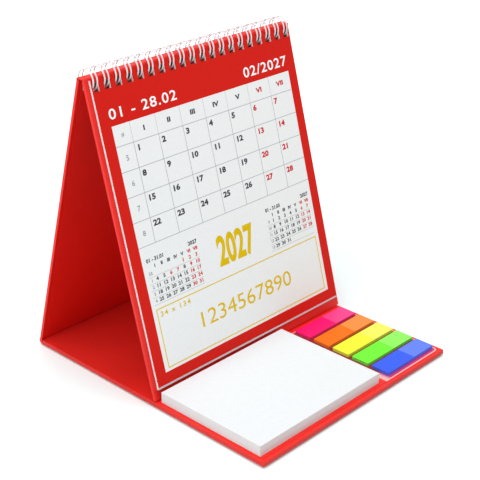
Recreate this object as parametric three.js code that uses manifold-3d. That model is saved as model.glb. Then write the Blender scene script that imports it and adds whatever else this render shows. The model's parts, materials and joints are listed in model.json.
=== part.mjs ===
// Desk calendar: a folding board stand wrapped in red paper, twelve month leaves on a white
// twin loop wire, a sticky note block and five blocks of page flags.
// Millimetres, +Z up, +X along the ridge, the pages face -Y.
// The pieces are drawn from the line where the front panel's face meets the base, and the whole
// is then moved so that the origin is the centre of the footprint, at desk level.

import * as THREE from 'three';
import { mergeVertices } from 'three/addons/utils/BufferGeometryUtils.js';
import Module from 'manifold-3d';

const wasm = await Module();
wasm.setup();

const DEGREE = Math.PI / 180;

// Stand
const standWidth = 160;
const ridgeHeight = 180.3;
const ridgeWidth = 5.8;
const frontLean = 15.2 * DEGREE;
const baseFrontReach = 81.4;
const baseRearReach = 106.2;
const rearCornerRadius = 2.4;
const ridgeCornerRadius = 1.2;
const boardBelowRidge = 1.2;
const hingeTail = 0.6;
const footGap = 0.15;
const arcSteps = 6;

// Board and paper lay-up, from the outer face inwards
const wrapPaper = 0.25;
const linerPaper = 0.2;
const panelBoard = 1.5;
const baseBoard = 2.4;
const glueGap = 0.05;
const turnIn = 14;
const linerMargin = 2.5;
const linerHingeMargin = 0.5;

// Twin loop wire
const wireDiameter = 0.9;
const ringRadius = 6.3;
const ringBehindFront = 3.65;
const ringDrop = 2.1;
const loopSpacing = 2.7;
const loopPitch = 7.85;
const rootBendRadius = 0.9;
const tipGap = 0.6;
const loopEdgeMargin = 2.5;
const stepsPerLeg = 12;
const stepsPerTip = 4;
const stepsPerBend = 2;
const wireSides = 5;
const bendStretch = 4;
const measureFiner = 4;

// Punched holes
const holeWidth = 4.1;
const holeHeight = 5.1;
const holeBelowRing = 4.35;

// Month leaves
const leafSideMargin = 2.5;
const leafHeight = 175;
const leafPaper = 0.1;
const leafSpace = 0.03;
const leafGap = 0.3;
const leafBelowRing = 0.3;
const frontMonths = [
  'december', 'november', 'october', 'september', 'august', 'july',
  'june', 'may', 'april', 'march', 'february',
];
const rearMonth = 'january';

// Sticky note block
const noteDepth = 75;
const noteHeight = 6.5;
const noteSheet = 0.1;
const noteSideInset = 2.5;
const noteFlagGap = 9.95;
const noteFootGap = 1.7;

// Page flags
const flagLength = 43.8;
const flagWidth = 12.1;
const flagPitch = 14.86;
const flagHeight = 2.05;
const flagFilm = 0.1;
const flagEndInset = 3.75;
const flagFootGap = 4.36;
const backingFilm = 0.15;
const backingEndMargin = 1.3;
const backingNearMargin = 5.5;
const backingSideMargin = 3.2;
const backingRearMargin = 1.8;
const backingCorner = 3;
const flagColors = { pink: 0xff1a74, orange: 0xff7a1c, yellow: 0xf5ff40, green: 0x7cff40, blue: 0x446aff };

// Modelling allowances: how far a cut runs past what it cuts, and when two corners are one
const cutPast = 10;
const weldDistance = 1e-5;

// Sizes that follow from the ones above
const leafWidth = standWidth - 2 * leafSideMargin;
const noteWidth = standWidth - noteSideInset - noteFlagGap - flagLength - flagEndInset;
const wiredWidth = leafWidth - 2 * loopEdgeMargin;
const pairCount = Math.floor(wiredWidth / loopPitch) + 1;
const pairCentres = Array.from({ length: pairCount }, (_, i) => (i - (pairCount - 1) / 2) * loopPitch);
const panelThickness = layUp(panelBoard);
const baseThickness = layUp(baseBoard);
const sinFront = Math.sin(frontLean);
const cosFront = Math.cos(frontLean);
const ridgeFrontY = ((ridgeHeight - baseThickness) * sinFront) / cosFront;
const ridgeRearY = ridgeFrontY + ridgeWidth;
const backLean = Math.atan((baseRearReach - ridgeRearY) / ridgeHeight);
const sinBack = Math.sin(backLean);
const cosBack = Math.cos(backLean);
const frontLength = (ridgeHeight - baseThickness) / cosFront;
const backLength = ridgeHeight / cosBack;
const cornerTangent = rearCornerRadius / Math.tan((Math.PI / 2 - backLean) / 2);
const hingeReach = cornerTangent + hingeTail;
const ringSlope = (ridgeHeight - ringDrop - baseThickness + ringBehindFront * sinFront) / cosFront;
const ringY = ringSlope * sinFront + ringBehindFront * cosFront;
const ringZ = ridgeHeight - ringDrop;
const ringUpBack = (baseRearReach - ringY) * sinBack + ringZ * cosBack;
const ringBehindBack = (baseRearReach - ringY) * cosBack - ringZ * sinBack;
const footprintMiddle = (cornerRear() - baseFrontReach) / 2;

function layUp(board) {
  return 2 * wrapPaper + linerPaper + board + 3 * glueGap;
}

function cornerRear() {
  return baseRearReach - cornerTangent + rearCornerRadius;
}

// Materials
function paint(color, roughness) {
  return new THREE.MeshStandardMaterial({ color, roughness, metalness: 0 });
}
const wrapMaterial = paint(0xe23a34, 0.5);
const linerMaterial = paint(0xd8241f, 0.55);
const boardMaterial = paint(0x9a9488, 0.9);
const wireMaterial = paint(0xf2f3f4, 0.35);
const leafMaterial = paint(0xe9eaea, 0.7);
const noteMaterial = paint(0xf6f7f8, 0.8);
const backingMaterial = paint(0xf3c9cc, 0.25);

function named(name, geometry, material) {
  const mesh = new THREE.Mesh(geometry, material);
  mesh.name = name;
  return mesh;
}

// Joining and cutting
function toSolid(geometry) {
  const bare = geometry.clone();
  bare.deleteAttribute('normal');
  bare.deleteAttribute('uv');
  const merged = mergeVertices(bare, weldDistance);
  const vertProperties = new Float32Array(merged.attributes.position.array);
  const triVerts = new Uint32Array(merged.index.array);
  return new wasm.Manifold(new wasm.Mesh({ numProp: 3, vertProperties, triVerts }));
}

function fromSolid(solid) {
  const mesh = solid.getMesh();
  const geometry = new THREE.BufferGeometry();
  geometry.setAttribute('position', new THREE.BufferAttribute(new Float32Array(mesh.vertProperties), 3));
  geometry.setIndex(Array.from(mesh.triVerts));
  geometry.computeVertexNormals();
  return geometry;
}

function block(x0, x1, y0, y1, z0, z1) {
  const geometry = new THREE.BoxGeometry(x1 - x0, y1 - y0, Math.abs(z1 - z0));
  geometry.translate((x0 + x1) / 2, (y0 + y1) / 2, (z0 + z1) / 2);
  return geometry;
}

// A row of punches through everything between two levels
function punches(holeY, z0, z1) {
  const tools = pairCentres.map((x) => toSolid(block(
    x - holeWidth / 2, x + holeWidth / 2, holeY - holeHeight / 2, holeY + holeHeight / 2, z0, z1)));
  return tools.reduce((all, tool) => all.add(tool));
}

// A flat sheet between two levels, with a row of punched holes when holeY is given
function sheet(width, y0, y1, z0, z1, holeY) {
  const plain = block(-width / 2, width / 2, y0, y1, z0, z1);
  if (holeY === undefined) {
    return plain;
  }
  return fromSolid(toSolid(plain).subtract(punches(holeY, z0 - cutPast, z1 + cutPast)));
}

// The paper that wraps a board: outer face, edges and turn-ins. It is open at an end that runs
// on into a hinge.
function wrapSolid(y0, y1, board, inward, wrapsLow, wrapsHigh, holeY) {
  const half = standWidth / 2;
  const pocket = wrapPaper + 2 * glueGap + board;
  const depth = pocket + wrapPaper;
  const cavityLow = wrapsLow ? y0 + wrapPaper : y0 - cutPast;
  const cavityHigh = wrapsHigh ? y1 - wrapPaper : y1 + cutPast;
  const windowLow = wrapsLow ? y0 + turnIn : y0 - cutPast;
  const windowHigh = wrapsHigh ? y1 - turnIn : y1 + cutPast;
  const side = half - wrapPaper;
  const window = half - turnIn;
  let solid = toSolid(block(-half, half, y0, y1, 0, inward * depth));
  const cavity = toSolid(block(-side, side, cavityLow, cavityHigh, inward * wrapPaper, inward * pocket));
  const opening = toSolid(
    block(-window, window, windowLow, windowHigh, inward * wrapPaper, inward * (depth + cutPast)));
  solid = solid.subtract(cavity).subtract(opening);
  if (holeY !== undefined) {
    solid = solid.subtract(punches(holeY, -cutPast, cutPast));
  }
  return solid;
}

// One cased board: its wrap, core and lining sheet, with the outer face at z = 0
function casedBoard(name, y0, y1, board, inward, wrapsLow, wrapsHigh, holeY) {
  const coreLow = wrapsLow ? y0 + wrapPaper + glueGap : y0;
  const coreHigh = wrapsHigh ? y1 - wrapPaper - glueGap : y1;
  const coreWidth = standWidth - 2 * (wrapPaper + glueGap);
  const coreOuter = wrapPaper + glueGap;
  const linerOuter = 2 * wrapPaper + 3 * glueGap + board;
  const wrap = fromSolid(wrapSolid(y0, y1, board, inward, wrapsLow, wrapsHigh, holeY));
  const core = sheet(
    coreWidth, coreLow, coreHigh, inward * coreOuter, inward * (coreOuter + board), holeY);
  const liner = sheet(
    standWidth - 2 * linerMargin, y0 + linerMargin, y1 - linerHingeMargin,
    inward * linerOuter, inward * (linerOuter + linerPaper), holeY);
  return [
    named(`${name}_wrap`, wrap, wrapMaterial),
    named(`${name}_board`, core, boardMaterial),
    named(`${name}_liner`, liner, linerMaterial),
  ];
}

// A strip of wrapping paper bent over a corner. Its path is a list of outer points, each with
// the angle that the paper's outer face looks in the YZ plane.
function bentStrip(path) {
  const outline = new THREE.Shape();
  const inner = [];
  path.forEach(({ y, z, angle }, i) => {
    if (i === 0) {
      outline.moveTo(y, z);
    } else {
      outline.lineTo(y, z);
    }
    inner.unshift([y - wrapPaper * Math.cos(angle), z - wrapPaper * Math.sin(angle)]);
  });
  inner.forEach(([y, z]) => outline.lineTo(y, z));
  const geometry = new THREE.ExtrudeGeometry(outline, { depth: standWidth, bevelEnabled: false });
  const turn = new THREE.Matrix4().makeBasis(
    new THREE.Vector3(0, 1, 0), new THREE.Vector3(0, 0, 1), new THREE.Vector3(1, 0, 0));
  geometry.applyMatrix4(turn);
  geometry.translate(-standWidth / 2, 0, 0);
  return geometry;
}

function cornerArc(centreY, centreZ, radius, from, to) {
  return Array.from({ length: arcSteps + 1 }, (_, i) => {
    const angle = from + ((to - from) * i) / arcSteps;
    return { y: centreY + radius * Math.cos(angle), z: centreZ + radius * Math.sin(angle), angle };
  });
}

const frontFaceAngle = Math.PI - frontLean;
const backFaceAngle = backLean;

function rearHinge() {
  const centreY = baseRearReach - cornerTangent;
  const arc = cornerArc(centreY, rearCornerRadius, rearCornerRadius, -Math.PI / 2, backFaceAngle);
  const tail = hingeTail - glueGap;
  const last = arc[arc.length - 1];
  const start = { y: centreY - tail, z: 0, angle: -Math.PI / 2 };
  const end = { y: last.y - tail * sinBack, z: last.z + tail * cosBack, angle: backFaceAngle };
  return named('rear_hinge', bentStrip([start, ...arc, end]), wrapMaterial);
}

function ridgeHinge() {
  const radius = ridgeCornerRadius;
  const frontTangent = radius / Math.tan((Math.PI / 2 + frontLean) / 2);
  const backTangent = radius / Math.tan((Math.PI / 2 + backLean) / 2);
  const centreZ = ridgeHeight - radius;
  const frontArc = cornerArc(ridgeFrontY + frontTangent, centreZ, radius, frontFaceAngle, Math.PI / 2);
  const backArc = cornerArc(ridgeRearY - backTangent, centreZ, radius, Math.PI / 2, backFaceAngle);
  const frontTail = boardBelowRidge / cosFront - frontTangent - glueGap;
  const backTail = boardBelowRidge / cosBack - backTangent - glueGap;
  const first = frontArc[0];
  const last = backArc[backArc.length - 1];
  const start = {
    y: first.y - frontTail * sinFront, z: first.z - frontTail * cosFront, angle: frontFaceAngle,
  };
  const end = { y: last.y + backTail * sinBack, z: last.z - backTail * cosBack, angle: backFaceAngle };
  return named('ridge_hinge', bentStrip([start, ...frontArc, ...backArc, end]), wrapMaterial);
}

// The wire: a path on the ring's cylinder, given across the ridge (x) and along the
// circumference (u), from the roots inside the stand over the ridge to the tips
const rootAngle = Math.acos(
  (ringBehindFront - panelThickness - ((ringBehindFront + ringBehindBack) / 2 - panelThickness)) / ringRadius);
const tipCentre = 2 * Math.PI * ringRadius - tipGap - loopSpacing / 2;

function wirePath(finer) {
  const points = [];
  const reach = loopSpacing / 2;
  const bend = rootBendRadius;
  const legSteps = stepsPerLeg * finer;
  const tipSteps = stepsPerTip * finer;
  const bendSteps = stepsPerBend * finer;
  pairCentres.forEach((x, i) => {
    for (let k = 0; i > 0 && k < bendSteps; k += 1) {
      const a = (k / bendSteps) * (Math.PI / 2);
      points.push([x - reach - bend + bend * Math.sin(a), bend - bend * Math.cos(a)]);
    }
    for (let k = 0; k < legSteps; k += 1) {
      points.push([x - reach, bend + ((tipCentre - bend) * k) / legSteps]);
    }
    for (let k = 0; k < tipSteps; k += 1) {
      const a = (k / tipSteps) * Math.PI;
      points.push([x - reach * Math.cos(a), tipCentre + reach * Math.sin(a)]);
    }
    for (let k = 0; k < legSteps; k += 1) {
      points.push([x + reach, tipCentre - ((tipCentre - bend) * k) / legSteps]);
    }
    const lastBend = i < pairCentres.length - 1 ? bendSteps : 0;
    for (let k = 0; k <= lastBend; k += 1) {
      const a = (k / bendSteps) * (Math.PI / 2);
      points.push([x + reach + bend - bend * Math.cos(a), bend - bend * Math.sin(a)]);
    }
  });
  return points.map(([x, u]) => {
    const angle = rootAngle - u / ringRadius;
    const radial = new THREE.Vector3(0, -Math.sin(angle), Math.cos(angle));
    const point = radial.clone().multiplyScalar(ringRadius).add(
      new THREE.Vector3(x, ringSlope, -ringBehindFront));
    return { point, radial };
  });
}

function tube(path, radius, sides) {
  const positions = [];
  const indices = [];
  path.forEach(({ point, radial }, i) => {
    const before = path[Math.max(i - 1, 0)].point;
    const after = path[Math.min(i + 1, path.length - 1)].point;
    const along = after.clone().sub(before);
    along.addScaledVector(radial, -along.dot(radial)).normalize();
    const across = new THREE.Vector3().crossVectors(radial, along);
    for (let k = 0; k < sides; k += 1) {
      const a = (k / sides) * 2 * Math.PI;
      const rim = point.clone().addScaledVector(radial, radius * Math.cos(a));
      rim.addScaledVector(across, radius * Math.sin(a));
      positions.push(rim.x, rim.y, rim.z);
    }
  });
  for (let i = 0; i < path.length - 1; i += 1) {
    for (let k = 0; k < sides; k += 1) {
      const a = i * sides + k;
      const b = i * sides + ((k + 1) % sides);
      indices.push(a, a + sides, b, b, a + sides, b + sides);
    }
  }
  const last = (path.length - 1) * sides;
  for (let k = 1; k < sides - 1; k += 1) {
    indices.push(0, k, k + 1);
    indices.push(last, last + k + 1, last + k);
  }
  const geometry = new THREE.BufferGeometry();
  geometry.setAttribute('position', new THREE.BufferAttribute(new Float32Array(positions), 3));
  geometry.setIndex(indices);
  geometry.computeVertexNormals();
  return geometry;
}

// The least free space between stretches of the wire that are more than one bend apart
function leastGap(path, diameter) {
  const travelled = [0];
  for (let i = 1; i < path.length; i += 1) {
    travelled.push(travelled[i - 1] + path[i].point.distanceTo(path[i - 1].point));
  }
  let least = Infinity;
  for (let i = 0; i < path.length; i += 1) {
    for (let k = i + 1; k < path.length; k += 1) {
      const near = Math.abs(path[i].point.x - path[k].point.x) < loopPitch;
      if (near && travelled[k] - travelled[i] > bendStretch) {
        least = Math.min(least, path[i].point.distanceTo(path[k].point) - diameter);
      }
    }
  }
  return least;
}

// Pieces
function base() {
  const high = baseRearReach - hingeReach;
  return casedBoard('base', -baseFrontReach, high, baseBoard, 1, true, false);
}

function backPanel() {
  const panel = new THREE.Group();
  panel.position.set(0, baseRearReach, 0);
  panel.rotation.x = Math.PI / 2 + backLean;
  const holeY = ringUpBack - holeBelowRing;
  const top = backLength - boardBelowRidge / cosBack;
  panel.add(...casedBoard('back', hingeReach, top, panelBoard, 1, false, false, holeY));
  const leafTop = ringUpBack - leafBelowRing;
  const leaf = sheet(leafWidth, leafTop - leafHeight, leafTop, -leafGap, -leafGap - leafPaper, holeY);
  panel.add(named(`leaf_${rearMonth}`, leaf, leafMaterial));
  return panel;
}

function frontPanel() {
  const panel = new THREE.Group();
  panel.position.set(0, 0, baseThickness);
  panel.rotation.x = Math.PI / 2 - frontLean;
  const holeY = ringSlope - holeBelowRing;
  const foot = (panelThickness * sinFront + footGap) / cosFront;
  const top = frontLength - boardBelowRidge / cosFront;
  panel.add(...casedBoard('front', foot, top, panelBoard, -1, true, false, holeY));
  const leafTop = ringSlope - leafBelowRing;
  frontMonths.forEach((month, i) => {
    const level = leafGap + i * (leafPaper + leafSpace);
    const leaf = sheet(leafWidth, leafTop - leafHeight, leafTop, level, level + leafPaper, holeY);
    panel.add(named(`leaf_${month}`, leaf, leafMaterial));
  });
  const wire = tube(wirePath(1), wireDiameter / 2, wireSides);
  panel.add(named('wire_binding', wire, wireMaterial));
  return panel;
}

function noteBlock() {
  const x0 = -standWidth / 2 + noteSideInset;
  const x1 = x0 + noteWidth;
  const y1 = -noteFootGap;
  const y0 = y1 - noteDepth;
  const split = baseThickness + noteHeight - noteSheet;
  return [
    named('note_block', block(x0, x1, y0, y1, baseThickness, split), noteMaterial),
    named('note_top_sheet', block(x0, x1, y0, y1, split, split + noteSheet), noteMaterial),
  ];
}

function flagBacking(x0, x1, y0, y1) {
  const outline = new THREE.Shape();
  const r = backingCorner;
  outline.moveTo(x0, y0);
  outline.lineTo(x1 - r, y0);
  outline.absarc(x1 - r, y0 + r, r, -Math.PI / 2, 0, false);
  outline.lineTo(x1, y1 - r);
  outline.absarc(x1 - r, y1 - r, r, 0, Math.PI / 2, false);
  outline.lineTo(x0, y1);
  const geometry = new THREE.ExtrudeGeometry(
    outline, { depth: backingFilm, bevelEnabled: false, curveSegments: arcSteps });
  geometry.translate(0, 0, baseThickness);
  return named('flag_backing', geometry, backingMaterial);
}

function flags() {
  const x1 = standWidth / 2 - flagEndInset;
  const x0 = x1 - flagLength;
  const bottom = baseThickness + backingFilm;
  const split = bottom + flagHeight - flagFilm;
  const colors = Object.entries(flagColors);
  const front = -flagFootGap - (colors.length - 1) * flagPitch - flagWidth;
  const pieces = [flagBacking(
    x0 - backingNearMargin, x1 + backingEndMargin,
    front - backingSideMargin, -flagFootGap + backingRearMargin)];
  colors.forEach(([name, color], i) => {
    const y1 = -flagFootGap - i * flagPitch;
    const y0 = y1 - flagWidth;
    const material = paint(color, 0.4);
    pieces.push(named(`flag_block_${name}`, block(x0, x1, y0, y1, bottom, split), material));
    pieces.push(named(`flag_top_${name}`, block(x0, x1, y0, y1, split, split + flagFilm), material));
  });
  return pieces;
}

const calendar = new THREE.Group();
calendar.position.set(0, -footprintMiddle, 0);
calendar.add(...base());
calendar.add(rearHinge());
calendar.add(ridgeHinge());
calendar.add(backPanel());
calendar.add(frontPanel());
calendar.add(...noteBlock());
calendar.add(...flags());

console.log(`least gap of the wire to itself ${leastGap(wirePath(measureFiner), wireDiameter).toFixed(2)} mm`);

export default calendar;
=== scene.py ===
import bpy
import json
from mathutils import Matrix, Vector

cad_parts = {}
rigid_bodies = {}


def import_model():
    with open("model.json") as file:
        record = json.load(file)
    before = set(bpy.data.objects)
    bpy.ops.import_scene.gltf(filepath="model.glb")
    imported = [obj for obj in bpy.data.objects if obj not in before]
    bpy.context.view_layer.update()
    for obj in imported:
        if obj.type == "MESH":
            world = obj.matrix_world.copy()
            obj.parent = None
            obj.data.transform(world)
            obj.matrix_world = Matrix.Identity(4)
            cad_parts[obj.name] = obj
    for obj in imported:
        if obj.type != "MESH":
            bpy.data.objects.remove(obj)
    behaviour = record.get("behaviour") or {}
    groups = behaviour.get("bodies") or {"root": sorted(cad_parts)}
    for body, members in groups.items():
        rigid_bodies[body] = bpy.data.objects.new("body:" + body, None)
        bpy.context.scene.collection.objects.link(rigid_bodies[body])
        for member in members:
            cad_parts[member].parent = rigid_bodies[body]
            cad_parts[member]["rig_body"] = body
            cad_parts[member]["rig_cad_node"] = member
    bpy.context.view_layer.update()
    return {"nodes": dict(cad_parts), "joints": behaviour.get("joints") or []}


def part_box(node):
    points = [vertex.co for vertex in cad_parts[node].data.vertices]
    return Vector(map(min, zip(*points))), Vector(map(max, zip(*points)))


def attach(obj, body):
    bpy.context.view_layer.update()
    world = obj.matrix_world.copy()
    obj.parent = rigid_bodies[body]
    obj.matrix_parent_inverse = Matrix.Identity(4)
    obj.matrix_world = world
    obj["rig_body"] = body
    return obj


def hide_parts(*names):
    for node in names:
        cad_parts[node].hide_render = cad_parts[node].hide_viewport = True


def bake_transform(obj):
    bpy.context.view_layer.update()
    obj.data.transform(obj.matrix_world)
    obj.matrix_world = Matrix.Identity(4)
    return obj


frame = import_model()

import calendar
import contextlib
import datetime
import json
import math
import random

import bmesh
import bpy
from mathutils import Matrix, Vector

bl_info = {
    "name": "Desk calendar",
    "version": (1, 0, 0),
    "blender": (4, 5, 0),
    "location": "3D View > Sidebar > Desk calendar",
    "description": "Dresses a folding desk calendar with its note block and page flags",
    "category": "Object",
}

MM = 0.001
NEAR = 0.01 * MM
MERGE = 0.001 * MM
FINE_MERGE = 0.0001 * MM
YEAR = 2027
MONTHS = [
    "january", "february", "march", "april", "may", "june",
    "july", "august", "september", "october", "november", "december",
]
FLAGS = ["pink", "orange", "yellow", "green", "blue"]
NUMERALS = ["I", "II", "III", "IV", "V", "VI", "VII"]
SATURDAY = 5

# The days of rest besides the weekends, month by month
REST_DAYS = {1: (1, 6, 7), 4: (30,), 5: (1, 3), 6: (1, 20, 21), 8: (15,), 11: (30,), 12: (1,)}

# Where the faces of the panels, the leaves and the base look
FRONT_OUT = Vector((0, -1, 0.2))
BACK_OUT = Vector((0, 1, 0.2))
BACK_IN = Vector((0, -1, -0.2))
LEVEL_UP = Vector((0, 0, 1))
REARWARD = Vector((0, 1, 0))
OUTWARD = {"base": LEVEL_UP, "back": BACK_OUT, "front": FRONT_OUT}

# How far a face's normal goes along the side that it is said to look at
LEVEL = 0.9
FACING = 0.8


def linear(red, green, blue):
    """A screen colour, 0 to 255, as the linear colour that Blender's sockets take."""
    shares = [value / 255 for value in (red, green, blue)]
    return tuple(s / 12.92 if s <= 0.04045 else ((s + 0.055) / 1.055) ** 2.4 for s in shares)


def colour(name, description, default):
    return bpy.props.FloatVectorProperty(
        name=name, description=description, subtype="COLOR", size=3, min=0, max=1, default=linear(*default))


def length(name, description, millimetres):
    return bpy.props.FloatProperty(
        name=name, description=description, unit="LENGTH", precision=6, default=millimetres * MM)


def angle(name, description, degrees):
    return bpy.props.FloatProperty(
        name=name, description=description, subtype="ANGLE", default=math.radians(degrees))


def power(name, description, watts):
    return bpy.props.FloatProperty(name=name, description=description, unit="POWER", default=watts)


def share(name, description, default):
    return bpy.props.FloatProperty(name=name, description=description, default=default)


def count(name, description, default):
    return bpy.props.IntProperty(name=name, description=description, default=default, min=1)


class CoverSettings(bpy.types.PropertyGroup):
    """Sizes and colours of the wrapped boards."""

    edge_round: length("Edge rounding", "Radius of the folded paper along a board's edge", 0.16)
    outer_round: length("Outer rounding", "Radius of the paper along a board's outer edges", 0.45)
    base_reach: length("Base lining reach", "How much further the base's lining runs to the rear fold", 1.0)
    back_reach: length("Back lining reach", "How much further down the back panel's lining runs", 1.8)
    hinge_paper: length("Hinge paper", "Thickness of the layers that bend round the rear corner", 2.05)
    rear_round: length("Rear corner", "Outer radius of the paper at the rear bottom corner", 2.4)
    ridge_round: length("Ridge corner", "Outer radius of the paper at the ridge", 1.2)
    ridge_paper: length("Ridge layers", "Thickness of the layers that bend over the ridge", 0.95)
    fold_steps: count("Fold steps", "Facets round a fold", 10)
    red: colour("Cover red", "Printed wrapping paper of the panels", (229, 40, 33))
    # The base's red is lighter than the panels' red: painted light on the base's upper faces
    base_red: colour("Base red", "Printed paper of the base", (242, 44, 36))
    lining: colour("Lining red", "Printed sheet pasted inside the panels", (224, 26, 16))
    # Painted shade on the base: darker on every face that does not look up, and darker under the panels from
    # shade start to shade end along Y
    base_depth: share("Base depth", "Tone of the base under the panels", 0.78)
    edge_depth: share("Edge depth", "Tone of the base's edges", 0.76)
    shade_start: length("Shade start", "Where along Y the base begins to darken", -10)
    shade_end: length("Shade end", "Where along Y the base is as dark as it gets", 20)
    board: colour("Board grey", "Pressed board inside the covers", (128, 112, 106))


class WireSettings(bpy.types.PropertyGroup):
    """Sizes and colour of the twin loop wire."""

    diameter: length("Wire diameter", "Diameter of the coated wire", 0.86)
    radius: length("Ring radius", "Radius of the ring at the middle of the wire", 6.14)
    pitch: length("Loop pitch", "Distance from one double loop to the next", 7.85)
    spacing: length("Loop width", "Distance between the two wires of a double loop", 2.7)
    root_bend: length("Root bend", "Radius of the bend between two double loops", 0.9)
    tip_gap: length("Tip gap", "Distance from a loop's tip to the roots", 0.6)
    loops: count("Loops", "Number of double loops", 20)
    leg_steps: count("Leg steps", "Steps along one wire of a loop", 26)
    tip_steps: count("Tip steps", "Steps round a loop's tip", 10)
    bend_steps: count("Bend steps", "Steps round half a root bend", 5)
    white: colour("Wire white", "Coating of the wire", (229, 229, 231))


class PageSettings(bpy.types.PropertyGroup):
    """Sizes and colours of the printed month pages."""

    ink_space: length("Ink height", "Height of one layer of print above the paper", 0.005)
    shown_layers: count("Shown layers", "How much thicker the print of the shown leaf is", 4)
    line: length("Grid line", "Width of the lines of the table", 0.34)
    fine_line: length("Fine line", "Width of the lines of the small months", 0.18)
    gold_line: length("Gold line", "Width of the line of the gold field", 0.65)
    red: colour("Page red", "Ground of the page", (209, 25, 13))
    white: colour("Page white", "Unprinted paper", (236, 237, 237))
    title: colour("Title white", "Numbers left white in the red ground", (250, 252, 252))
    dark: colour("Dark ink", "Days and headings", (62, 64, 72))
    # Leaf edge grey: painted shade along each leaf's lower edge, standing in for the shaded bottom face of
    # the stack of leaves
    edge: colour("Leaf edge", "Unprinted lower edge of a leaf", (206, 198, 200))
    grey: colour("Grey ink", "Week numbers", (150, 153, 160))
    rule: colour("Rule ink", "Lines of the tables", (168, 170, 174))
    day_red: colour("Red ink", "Days of rest", (206, 18, 18))
    gold: colour("Gold ink", "The field for a print of one's own", (222, 186, 0))


class NoteSettings(bpy.types.PropertyGroup):
    """Sizes and colours of the note block, the page flags and their film."""

    bundle: length("Sheet bundle", "Height of one bundle of sheets in a block", 0.26)
    bundle_shift: length("Bundle shift", "How far a bundle of sheets may lie out of line", 0.035)
    seam: share("Seam", "Gap between two bundles as a share of a bundle", 0.03)
    flag_round: length("Flag rounding", "Radius along a flag block's edges", 0.12)
    flag_groove: length("Flag groove", "Height of the line between a flag block's two halves", 0.26)
    flag_depth: length("Groove depth", "Depth of the line between a flag block's two halves", 0.45)
    # The core between the halves takes a darker copy of the flag's colour: painted shade in the groove
    line_depth: share("Line depth", "Tone of the line between a flag block's two halves", 0.3)
    # The sides of the flags are painted paler than their tops: painted light
    side_lift: share("Side lift", "How much paler the sides of the flags are", 0.2)
    end_lift: share("End lift", "How much paler the far end of a flag is", 0.2)
    flag_split: length("Flag split", "Where along the ridge the paler end of a flag begins", 57.6)
    film_rim: length("Film rim", "Width of the pale outline of the film", 0.8)
    film_corner: length("Film corner", "Radius of the film's outer corners", 3.0)
    film_fade: length("Film fade", "Where the film turns pale before the last flag's near corner", 2.8)
    white: colour("Note white", "Paper of the note block", (222, 226, 228))
    side: colour("Note side", "Cut edges of the note block", (222, 219, 219))
    film: colour("Film tint", "Clear film that carries the flags", (252, 200, 196))
    film_end: colour("Film end", "Film beyond the end of the last flag", (240, 176, 178))
    # Painted shade and reflection of the last flag on the film: strong beside the flag, faint at the film's
    # rim
    film_deep: colour("Film shade", "Film close to the last flag", (172, 50, 124))
    film_shine: colour("Film shine", "Film close to its rim", (228, 70, 100))
    pink: colour("Pink", "Pink flags", (254, 18, 108))
    orange: colour("Orange", "Orange flags", (254, 112, 14))
    yellow: colour("Yellow", "Yellow flags", (234, 250, 54))
    green: colour("Green", "Green flags", (110, 250, 54))
    blue: colour("Blue", "Blue flags", (56, 94, 250))


class StageSettings(bpy.types.PropertyGroup):
    """Camera, floor and lamps."""

    azimuth: angle("Azimuth", "Camera's turn about the upright axis", -46.31)
    elevation: angle("Elevation", "Camera's look down", 24.93)
    camera_x: length("Camera X", "Place of the camera along the ridge", -455.94)
    camera_y: length("Camera Y", "Place of the camera across the ridge", -435.67)
    camera_z: length("Camera Z", "Height of the camera", 365.94)
    lens: bpy.props.FloatProperty(
        name="Focal length", description="On a sensor 36 mm wide", unit="CAMERA", default=89.4)
    floor: colour("Floor", "Plain pale floor", (252, 252, 252))
    floor_shade: colour(
        "Near floor", "Floor beside the object, cool against the red it reflects", (238, 250, 250))
    floor_gap: length("Floor gap", "How far the floor lies below the base's underside", 1.0)
    floor_near: length("Near floor's end", "Where the floor begins to rise to white", 180)
    floor_far: length("Far floor", "Where the floor is white", 450)
    lift: share("Floor lift", "How far the seen floor is raised towards white", 0.08)
    far_lift: share("Far lift", "The same, far from the object", 0.5)
    ambient: share("Ambient", "Strength of the room's light", 0.56)
    key: power("Key lamp", "Power of the overhead lamp", 13.5)
    side: power("Side lamp", "Power of the side lamp", 2.8)


SETTINGS = {
    "cal_cover": CoverSettings,
    "cal_wire": WireSettings,
    "cal_page": PageSettings,
    "cal_note": NoteSettings,
    "cal_stage": StageSettings,
}


# Selecting and editing

def select_only(*objects):
    bpy.ops.object.select_all(action="DESELECT")
    for obj in objects:
        obj.select_set(True)
    bpy.context.view_layer.objects.active = objects[0]


@contextlib.contextmanager
def editing(obj):
    """Edit mode on one object, with nothing selected at the start."""
    select_only(obj)
    bpy.ops.object.mode_set(mode="EDIT")
    bpy.ops.mesh.select_all(action="DESELECT")
    try:
        yield
    finally:
        bpy.ops.object.mode_set(mode="OBJECT")


def pick(obj, kind, test):
    """Selects the vertices, edges or faces of the edited mesh that pass the test, and nothing else."""
    bpy.ops.mesh.select_mode(type={"verts": "VERT", "edges": "EDGE", "faces": "FACE"}[kind])
    bpy.ops.mesh.select_all(action="DESELECT")
    mesh = bmesh.from_edit_mesh(obj.data)
    found = [item for item in getattr(mesh, kind) if test(item)]
    for item in found:
        item.select_set(True)
    mesh.select_flush_mode()
    bmesh.update_edit_mesh(obj.data)
    if not found:
        raise RuntimeError(f"{obj.name}: nothing to select")


def apply_modifiers(obj):
    select_only(obj)
    for modifier in list(obj.modifiers):
        bpy.ops.object.modifier_apply(modifier=modifier.name)


def settle(obj):
    """Puts an object's place into its mesh."""
    select_only(obj)
    bpy.ops.object.transform_apply(location=True, rotation=True, scale=True)


def smooth(obj, degrees=35):
    select_only(obj)
    bpy.ops.object.shade_smooth_by_angle(angle=math.radians(degrees))


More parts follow.
